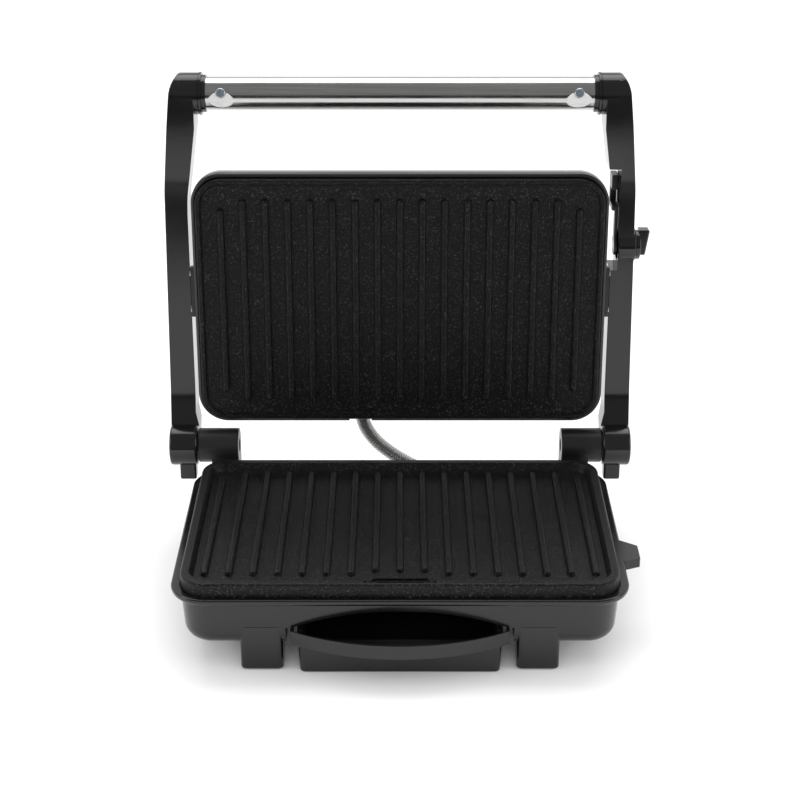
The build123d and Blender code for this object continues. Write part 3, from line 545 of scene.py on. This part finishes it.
def lens(name, colour):
    """Clear coloured lamp lens with a slightly uneven surface."""
    finish = Finish(name)
    smudge = finish.group(group_once("Gloss changes", build_smudge), Scale=200.0, Glossy=0.05, Dull=0.16)
    finish.tint(smudge.outputs["Mask"], colour, scaled(colour, 0.8))
    finish.wire(smudge.outputs["Roughness"], "Roughness")
    finish.set(Transmission_Weight=0.55, IOR=1.49)
    return finish.material


FINISHES = {
    "gloss_black": gloss_black,
    "satin_black": satin_black,
    "coating": coating,
    "stainless": lambda: steel(
        "Polished stainless steel", colours().stainless, 0.15, 0.24, 900.0, 0.02 * MM, 0.8),
    "cover_steel": lambda: steel(
        "Brushed stainless sheet", colours().stainless, 0.24, 0.34, 2400.0, 0.02 * MM),
    "conduit_steel": lambda: steel(
        "Conduit steel", scaled(colours().stainless, 0.8), 0.22, 0.36, 1500.0, 0.01 * MM),
    "zinc": zinc,
    "tin": tinned_sheet,
    "element": oxidised_sheath,
    "rubber": rubber,
    "insulator": insulator,
    "red_lens": lambda: lens("Red lens", colours().red_lens),
    "green_lens": lambda: lens("Green lens", colours().green_lens),
}
made = {}


def finish_of(name):
    """A material, made the first time that it is asked for."""
    if name not in made:
        made[name] = FINISHES[name]()
    return made[name]


# ------------------------------------------------------------------------------------------ arms

HUB_RADIUS, HUB_INNER, HUB_OUTER = 12.0, 120.4, 137.0
TUBE_REACH, TUBE_RISE, TUBE_RADIUS, TUBE_HALF_LENGTH = 208.0, 18.0, 9.5, 112.0
SLEEVE_RADIUS, SLEEVE_INNER = 11.8, 113.2
KNOB_REACH, KNOB_RISE, KNOB_BOSS_RADIUS, KNOB_BOSS_OUTER = 119.5, 17.5, 9.8, 136.8
RECESS_FACE, RECESS_NEAR, RECESS_FAR = 126.4, 106.0, 166.0
PIVOT_REACH, PIVOT_RISE = 94.0, 18.0
BLOCK_HALF, FLOAT_TRAVEL = 6.1, 6.0
POCKET_INNER, POCKET_OUTER = 118.0, 131.3
PEG_LOW, PEG_HIGH = (122.0, 0.5, -5.0), (131.8, 20.5, 5.0)
SLEEVE_OUTER = 124.0
RECESS_START, RECESS_TOP = 108.0, 42.0
PIN_HOLE_RADIUS, PIN_HOLE_OUTER = 4.0, 133.0
TUBE_SCREW_X, TUBE_SCREW_TURN = 100.7, 12.0
TUBE_WALL, DIMPLE_CUTS = 1.0, 26

# Stations of the right arm: reach, inner and outer X, low and high rise.
ARM_STATIONS = (
    (-3.0, 120.7, 136.7, 2.6, 12.0),
    (4.0, 120.4, 136.9, 2.4, 16.6),
    (11.0, 120.4, 137.0, 4.8, 21.2),
    (18.0, 122.3, 137.1, 7.2, 25.7),
    (22.0, 122.3, 137.15, 8.5, 27.9),
    (26.0, 122.3, 137.2, 9.4, 29.6),
    (30.0, 122.3, 137.1, 9.9, 30.6),
    (35.0, 122.3, 137.0, 10.0, 31.0),
    (90.0, 122.3, 136.1, 10.0, 31.0),
    (140.0, 122.3, 135.3, 10.0, 31.0),
    (146.0, 122.1, 135.2, 10.0, 31.0),
    (150.0, 121.8, 135.15, 9.95, 31.0),
    (154.0, 121.3, 135.0, 9.85, 30.97),
    (158.0, 120.7, 134.7, 9.7, 30.93),
    (162.0, 120.1, 134.4, 9.55, 30.87),
    (190.0, 116.1, 131.9, 7.05, 30.07),
    (200.0, 116.0, 130.9, 6.7, 29.95),
)

# The end over the tube: turns about the tube's axis in degrees, and how the outside tapers round it.
ARM_END_TURNS = (0, 12, 24, 36, 48, 58, 67, 75, 82)
ARM_END_INNER, ARM_END_OUTER, ARM_END_TAPER = 116.0, 130.0, 6.0


def arm_corners(reach, inner, outer, low, high):
    """The four corners of the right arm at one reach."""
    return [(inner, -reach, low), (outer, -reach, low), (outer, -reach, high), (inner, -reach, high)]


def arm_sections():
    """The four corners of the right arm at each station, and round the end over the tube."""
    sections = [arm_corners(*station) for station in ARM_STATIONS]
    for turn in ARM_END_TURNS:
        angle = math.radians(turn)
        reach = TUBE_REACH + SLEEVE_RADIUS * math.sin(angle)
        half = SLEEVE_RADIUS * math.cos(angle)
        outer = ARM_END_OUTER - ARM_END_TAPER * (turn / ARM_END_TURNS[-1]) ** 1.6
        sections.append(arm_corners(reach, ARM_END_INNER, outer, TUBE_RISE - half, TUBE_RISE + half))
    return sections


def build_arm(locked):
    """The right arm in the closed lid's frame; the locked one has the recess and boss of the lid lock."""
    edge = sizes().arm_edge
    arm = rounded(loft("arm", arm_sections()), edge, 4, 50)
    hub = rounded(drum("hub", HUB_RADIUS, HUB_INNER, HUB_OUTER), 1.6 * MM)
    peg = rounded(box("peg", PEG_LOW, PEG_HIGH), 1.2 * MM)
    sleeve = drum("sleeve", SLEEVE_RADIUS, SLEEVE_INNER, SLEEVE_OUTER, TUBE_REACH, TUBE_RISE)
    sleeve = rounded(sleeve, 0.6 * MM)
    for part in (hub, peg, sleeve):
        combine(arm, part)
    if locked:
        recess = box("recess", (RECESS_START, -RECESS_FAR, 0.0), (RECESS_FACE, -RECESS_NEAR, RECESS_TOP))
        combine(arm, recess, "DIFFERENCE")
        boss = drum("boss", KNOB_BOSS_RADIUS, RECESS_FACE, KNOB_BOSS_OUTER, KNOB_REACH, KNOB_RISE)
        combine(arm, rounded(boss, 0.8 * MM))
    pocket = box("pocket", (POCKET_INNER, -PIVOT_REACH - BLOCK_HALF, PIVOT_RISE - BLOCK_HALF),
                 (POCKET_OUTER, -PIVOT_REACH + BLOCK_HALF, PIVOT_RISE + BLOCK_HALF + FLOAT_TRAVEL))
    combine(arm, pocket, "DIFFERENCE")
    pin_hole = drum("pin_hole", PIN_HOLE_RADIUS, POCKET_INNER, PIN_HOLE_OUTER, faces=48)
    combine(arm, pin_hole, "DIFFERENCE")
    return arm


class PRESS_OT_arms(bpy.types.Operator):
    """Build the two gloss arms that carry the handle and the lid"""

    bl_idname = "press.arms"
    bl_label = "Arms"

    def execute(self, context):
        right = build_arm(True)
        right.name = right.data.name = "right_arm_moulding"
        left = mirrored(build_arm(False), "left_arm_moulding")
        bpy.data.objects.remove(bpy.data.objects["arm"])
        for arm, node in ((right, "right_arm"), (left, "left_arm")):
            placed(shade(opened(arm)), finish_of("gloss_black"), "arms", "gloss_black", node)
        return {"FINISHED"}


# ---------------------------------------------------------------------------------------- handle

class PRESS_OT_handle(bpy.types.Operator):
    """Build the grip tube with its pressed flats, and finish its collars and screws"""

    bl_idname = "press.handle"
    bl_label = "Handle"

    def execute(self, context):
        size = sizes()
        bpy.ops.object.select_all(action="DESELECT")
        bpy.ops.mesh.primitive_cylinder_add(
            vertices=128, radius=TUBE_RADIUS * MM, depth=2 * TUBE_HALF_LENGTH * MM, end_fill_type="NOTHING",
            location=(0, -TUBE_REACH * MM, TUBE_RISE * MM), rotation=(0, math.pi / 2, 0))
        tube = added("grip_tube")
        bpy.ops.object.mode_set(mode="EDIT")
        for middle in (-TUBE_SCREW_X, TUBE_SCREW_X):
            for step in range(DIMPLE_CUTS + 1):
                x = middle * MM + size.dimple_length * (step / DIMPLE_CUTS - 0.5) * 1.1
                bpy.ops.mesh.select_all(action="SELECT")
                bpy.ops.mesh.bisect(plane_co=(x, 0, 0), plane_no=(1, 0, 0))
        bpy.ops.object.mode_set(mode="OBJECT")
        self.press_flats(tube, size)
        modify(tube, "SOLIDIFY", thickness=TUBE_WALL * MM, offset=-1)
        opened(shade(tube, 50))
        placed(tube, finish_of("stainless"), "arms", "stainless", "handle_tube")
        coat(finish_of("gloss_black"), "right_handle_collar", "left_handle_collar")
        coat(finish_of("zinc"), "handle_tube_screws")
        return {"FINISHED"}

    @staticmethod
    def press_flats(tube, size):
        """Press an oval flat into the tube round each screw, square to the screw."""
        turn = math.radians(TUBE_SCREW_TURN)
        outward = Vector((0, math.sin(turn), -math.cos(turn)))
        across = Vector((0, math.cos(turn), math.sin(turn)))
        axis = Vector((0, -TUBE_REACH, TUBE_RISE)) * MM
        for corner in tube.data.vertices:
            off = corner.co - axis
            if off.dot(outward) <= 0:
                continue
            along = (abs(off.x) - TUBE_SCREW_X * MM) / (size.dimple_length / 2)
            aside = off.dot(across) / (size.dimple_width / 2)
            inside = 1 - min(1.0, along * along + aside * aside)
            corner.co -= outward * size.dimple_depth * inside ** 0.6


# --------------------------------------------------------------------------------------- conduit

# Shares of the conduit's length at which it is cut into three lengths.
CONDUIT_CUTS = (0.30, 0.44)

# One rib of the conduit: share of the pitch and share of the radius, between valleys.
RIB_PROFILE = ((0.2, 0.965), (0.38, 1.0), (0.62, 1.0), (0.8, 0.965))
RIB_VALLEYS = ((0.0, 0.86), (1.0, 0.86))

# The conduit's route from the lid to the base, in millimetres from the mid-plane, the hinge and the floor.
CONDUIT_ROUTE = (
    (-24.6, 20.8, 77.0),
    (-23.9, 21.2, 62.0),
    (-17.3, 21.0, 48.0),
    (-3.6, 18.6, 37.2),
    (13.0, 12.4, 30.6),
    (26.8, 2.6, 28.0),
    (33.5, -9.9, 27.5),
    (33.5, -20.8, 27.5),
)


class PRESS_OT_conduit(bpy.types.Operator):
    """Build the ribbed steel conduit between the base and the lid, in three lengths"""

    bl_idname = "press.conduit"
    bl_label = "Link conduit"

    def execute(self, context):
        route = self.centreline()
        tube = self.ribbed(route)
        lengths = [(b - a).length for a, b in zip(route, route[1:])]
        marks = [self.point_at(route, lengths, share) for share in CONDUIT_CUTS]
        self.cut_and_ride(tube, marks, route)
        bpy.data.objects.remove(tube)
        return {"FINISHED"}

    @staticmethod
    def centreline():
        """Points along the smooth spline of the route."""
        curve = bpy.data.curves.new("conduit_route", "CURVE")
        curve.dimensions = "3D"
        spline = curve.splines.new("NURBS")
        spline.points.add(len(CONDUIT_ROUTE) - 1)
        for point, (aside, behind, height) in zip(spline.points, CONDUIT_ROUTE):
            point.co = (MID_X + aside * MM, HINGE.y + behind * MM, height * MM, 1)
        spline.order_u = 3
        spline.use_endpoint_u = True
        curve.resolution_u = 24
        holder = bpy.data.objects.new("conduit_route", curve)
        bpy.context.scene.collection.objects.link(holder)
        bpy.context.view_layer.update()
        line = bpy.data.meshes.new_from_object(holder)
        points = [corner.co.copy() for corner in line.vertices]
        bpy.data.meshes.remove(line)
        bpy.data.objects.remove(holder)
        return points

    @staticmethod
    def point_at(route, lengths, share):
        """The point at a share of the route's length."""
        left = sum(lengths) * share
        for start, end, length in zip(route, route[1:], lengths):
            if left <= length:
                return start.lerp(end, left / length)
            left -= length
        return route[-1]

    @staticmethod
    def ribbed(route):
        """A tube with a rounded rib every pitch, swept along the route."""
        size = sizes()
        total = sum((b - a).length for a, b in zip(route, route[1:]))
        pitch = total / round(total / size.conduit_pitch)
        count = round(total / pitch)
        bpy.ops.object.select_all(action="DESELECT")
        bpy.ops.mesh.primitive_cylinder_add(
            vertices=28, radius=size.conduit_radius, depth=pitch, end_fill_type="NOTHING",
            location=(pitch / 2, 0, 0), rotation=(0, math.pi / 2, 0))
        tube = added("conduit")
        bpy.ops.object.mode_set(mode="EDIT")
        for share, _ in RIB_PROFILE:
            bpy.ops.mesh.select_all(action="SELECT")
            bpy.ops.mesh.bisect(plane_co=(pitch * share, 0, 0), plane_no=(1, 0, 0))
        bpy.ops.object.mode_set(mode="OBJECT")
        for corner in tube.data.vertices:
            share = corner.co.x / pitch
            nearest = min(RIB_PROFILE + RIB_VALLEYS, key=lambda row: abs(row[0] - share))
            corner.co.y *= nearest[1]
            corner.co.z *= nearest[1]
        modify(tube, "ARRAY", count=count, use_relative_offset=False, use_constant_offset=True,
               constant_offset_displace=(pitch, 0, 0), use_merge_vertices=True, merge_threshold=0.01 * MM)
        curve = bpy.data.curves.new("conduit_path", "CURVE")
        curve.dimensions = "3D"
        curve.twist_mode = "MINIMUM"
        line = curve.splines.new("POLY")
        line.points.add(len(route) - 1)
        for point, place in zip(line.points, route):
            point.co = (*place, 1)
        holder = bpy.data.objects.new("conduit_path", curve)
        bpy.context.scene.collection.objects.link(holder)
        modify(tube, "CURVE", object=holder, deform_axis="POS_X")
        bpy.data.objects.remove(holder)
        return face_outwards(tube)

    @staticmethod
    def cut_and_ride(tube, marks, route):
        """Split the tube at the marks into three lengths in conduit steel, and hide the CAD conduit."""
        rides = (("conduit_upper", "lid", "floats"), ("conduit_middle", "floats", "arms"),
                 ("conduit_lower", "arms", "base"))
        ways = []
        for mark in marks:
            nearest = min(range(len(route) - 1), key=lambda i: (route[i] - mark).length)
            ways.append((route[nearest + 1] - route[nearest - 1]).normalized())
        for number, (name, body_a, body_b) in enumerate(rides):
            part = tube.copy()
            part.data = tube.data.copy()
            part.name = name
            part.data.name = name
            bpy.context.scene.collection.objects.link(part)
            only(part)
            bpy.ops.object.mode_set(mode="EDIT")
            if number > 0:
                bpy.ops.mesh.select_all(action="SELECT")
                bpy.ops.mesh.bisect(plane_co=marks[number - 1], plane_no=ways[number - 1], clear_inner=True)
            if number < 2:
                bpy.ops.mesh.select_all(action="SELECT")
                bpy.ops.mesh.bisect(plane_co=marks[number], plane_no=ways[number], clear_outer=True)
            bpy.ops.object.mode_set(mode="OBJECT")
            bpy.ops.object.shade_smooth_by_angle(angle=math.radians(60))
            part.data.materials.append(finish_of("conduit_steel"))
            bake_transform(part)
            if number == 2:
                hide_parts("link_conduit")


# ------------------------------------------------------------------- nodes that keep their shape

class PRESS_OT_plates(bpy.types.Operator):
    """Finish both ribbed grill plates with their non-stick coating"""

    bl_idname = "press.plates"
    bl_label = "Grill plates"

    def execute(self, context):
        coat(finish_of("coating"), "lower_grill_plate", "upper_grill_plate")
        coat(finish_of("zinc"), "lower_plate_screws", "upper_plate_screws")
        return {"FINISHED"}


class PRESS_OT_base(bpy.types.Operator):
    """Finish the base housing, its feet, glands and hinge brackets"""

    bl_idname = "press.base"
    bl_label = "Base"

    def execute(self, context):
        coat(finish_of("gloss_black"), "base_housing")
        coat(finish_of("rubber"), "foot_pads", "cord_inlet_gland", "conduit_base_gland")
        coat(finish_of("satin_black"), "tray_bay")
        for side in ("right", "left"):
            softened(f"{side}_hinge_bracket", f"{side}_bracket_moulding", "satin_black", "base",
                     "satin_black")
        coat(finish_of("zinc"), "hinge_bracket_screws", "right_hinge_pin", "left_hinge_pin")
        return {"FINISHED"}


class PRESS_OT_tray(bpy.types.Operator):
    """Finish the drip tray"""

    bl_idname = "press.tray"
    bl_label = "Drip tray"

    def execute(self, context):
        softened("drip_tray", "tray_moulding", "satin_black", "tray", "satin_black")
        return {"FINISHED"}


class PRESS_OT_lid(bpy.types.Operator):
    """Finish the lid: rim, steel cover, lamps, pivots and conduit gland"""

    bl_idname = "press.lid"
    bl_label = "Lid"

    def execute(self, context):
        coat(finish_of("satin_black"), "lid_rim", "right_pivot_bracket", "left_pivot_bracket",
             "right_float_block", "left_float_block")
        coat(finish_of("cover_steel"), "lid_steel_cover")
        coat(finish_of("zinc"), "lid_pivot_pins", "pivot_bracket_screws")
        coat(finish_of("rubber"), "conduit_lid_gland")
        coat(finish_of("tin"), "lamp_bracket")
        coat(finish_of("red_lens"), "power_lamp_lens")
        coat(finish_of("green_lens"), "ready_lamp_lens")
        return {"FINISHED"}


class PRESS_OT_lock(bpy.types.Operator):
    """Finish the lid lock's knob and hook"""

    bl_idname = "press.lock"
    bl_label = "Lid lock"

    def execute(self, context):
        softened("lock_knob", "knob_moulding", "gloss_black", "lock", "gloss_black")
        softened("lock_hook", "hook_moulding", "satin_black", "lock", "satin_black")
        return {"FINISHED"}


class PRESS_OT_inside(bpy.types.Operator):
    """Finish the parts inside: elements, heat shields, thermostats and terminal block"""

    bl_idname = "press.inside"
    bl_label = "Inner parts"

    def execute(self, context):
        coat(finish_of("element"), "lower_heating_element", "upper_heating_element")
        coat(finish_of("tin"), "lower_heat_shield", "upper_heat_shield")
        coat(finish_of("insulator"), "lower_thermostat", "upper_thermostat", "terminal_block")
        return {"FINISHED"}


# ----------------------------------------------------------------------------------------- stage

CAMERA_PLACE = (MID_X, HINGE.y - 0.9578, 0.5195)
CAMERA_TILT = 24.5
CAMERA_LENS = 80.0
SENSOR_WIDTH = 36.0
FLOOR_FRONT = -0.64


def softbox(name, place, aim, width, height, power):
    """A rectangular area light that faces a point."""
    light = bpy.data.lights.new(name, "AREA")
    light.shape = "RECTANGLE"
    light.size = width
    light.size_y = height
    light.energy = power
    holder = bpy.data.objects.new(name, light)
    holder.location = place
    holder.rotation_euler = (Vector(aim) - Vector(place)).to_track_quat("-Z", "Y").to_euler()
    bpy.context.scene.collection.objects.link(holder)
    return holder


class PRESS_OT_stage(bpy.types.Operator):
    """Set up the pale floor, the soft studio light and the camera"""

    bl_idname = "press.stage"
    bl_label = "Studio stage"

    def execute(self, context):
        scene = context.scene
        bpy.ops.object.select_all(action="DESELECT")
        bpy.ops.mesh.primitive_plane_add(size=14.0, location=(0, FLOOR_FRONT + 7.0, 0))
        floor = added("studio_floor")
        finish = Finish("Studio floor")
        finish.set(Base_Color=(*colours().floor, 1), Roughness=0.7)
        finish.set(Specular_IOR_Level=0.1)
        floor.data.materials.append(finish.material)

        world = bpy.data.worlds.new("Studio")
        world.use_nodes = True
        tree = world.node_tree
        background = tree.nodes["Background"]
        background.inputs["Color"].default_value = (1, 1, 1, 1)
        path = shader_node(tree, "ShaderNodeLightPath")
        way = shader_node(tree, "ShaderNodeTexCoord")
        split = shader_node(tree, "ShaderNodeSeparateXYZ")
        front = shader_node(tree, "ShaderNodeMapRange", {
            "From Min": -0.03, "From Max": 0.1, "To Min": 0.03, "To Max": 0.27})
        room = shader_node(tree, "ShaderNodeMapRange", {"From Min": 0.0, "From Max": 0.4, "To Max": 0.95})
        level = shader_node(tree, "ShaderNodeMix")
        level.inputs["A"].default_value = 0.92
        tree.links.new(way.outputs["Generated"], split.inputs["Vector"])
        tree.links.new(split.outputs["Z"], front.inputs["Value"])
        tree.links.new(split.outputs["Y"], room.inputs["Value"])
        tree.links.new(front.outputs["Result"], room.inputs["To Min"])
        tree.links.new(path.outputs["Is Glossy Ray"], level.inputs["Factor"])
        tree.links.new(room.outputs["Result"], level.inputs["B"])
        tree.links.new(level.outputs["Result"], background.inputs["Strength"])
        scene.world = world

        softbox("overhead_softbox", (0.0, 0.8, 1.9), (0, 0.0, 0), 2.2, 1.3, 24.0)
        key = softbox("front_softbox", (0.0, -2.4, 1.5), (0, 0.0, 0.1), 1.8, 0.9, 14.0)
        key.visible_glossy = False
        softbox("left_softbox", (-1.7, -0.5, 0.7), (0, 0, 0.12), 0.6, 1.2, 7.0)
        softbox("right_softbox", (1.7, -0.5, 0.7), (0, 0, 0.12), 0.6, 1.2, 7.0)

        lens_data = bpy.data.cameras.new("press_camera")
        lens_data.lens = CAMERA_LENS
        lens_data.sensor_width = SENSOR_WIDTH
        camera = bpy.data.objects.new("press_camera", lens_data)
        camera.location = CAMERA_PLACE
        camera.rotation_euler = (math.radians(90 - CAMERA_TILT), 0, 0)
        scene.collection.objects.link(camera)
        scene.camera = camera
        scene.view_settings.view_transform = "Standard"
        return {"FINISHED"}


class PRESS_PT_panel(bpy.types.Panel):
    """The press's pieces and settings"""

    bl_idname = "PRESS_PT_panel"
    bl_label = "Panini press"
    bl_space_type = "VIEW_3D"
    bl_region_type = "UI"
    bl_category = "Press"

    def draw(self, context):
        column = self.layout.column()
        for operator in OPERATORS:
            column.operator(operator.bl_idname)
        for group in (context.scene.press_sizes, context.scene.press_colours):
            for name in group.__annotations__:
                column.prop(group, name)


OPERATORS = (PRESS_OT_stage, PRESS_OT_conduit, PRESS_OT_arms, PRESS_OT_handle, PRESS_OT_plates, PRESS_OT_base,
             PRESS_OT_tray, PRESS_OT_lid, PRESS_OT_lock, PRESS_OT_inside)
CLASSES = (PressSizes, PressColours, *OPERATORS, PRESS_PT_panel)


def register():
    """Register the classes and the scene's settings."""
    for cls in CLASSES:
        bpy.utils.register_class(cls)
    bpy.types.Scene.press_sizes = PointerProperty(type=PressSizes)
    bpy.types.Scene.press_colours = PointerProperty(type=PressColours)


def unregister():
    """Remove them again."""
    del bpy.types.Scene.press_sizes
    del bpy.types.Scene.press_colours
    for cls in reversed(CLASSES):
        bpy.utils.unregister_class(cls)


def main():
    """Register the classes and build every piece in order."""
    register()
    for operator in OPERATORS:
        group, name = operator.bl_idname.split(".")
        getattr(getattr(bpy.ops, group), name)()


if __name__ == "__main__":
    main()
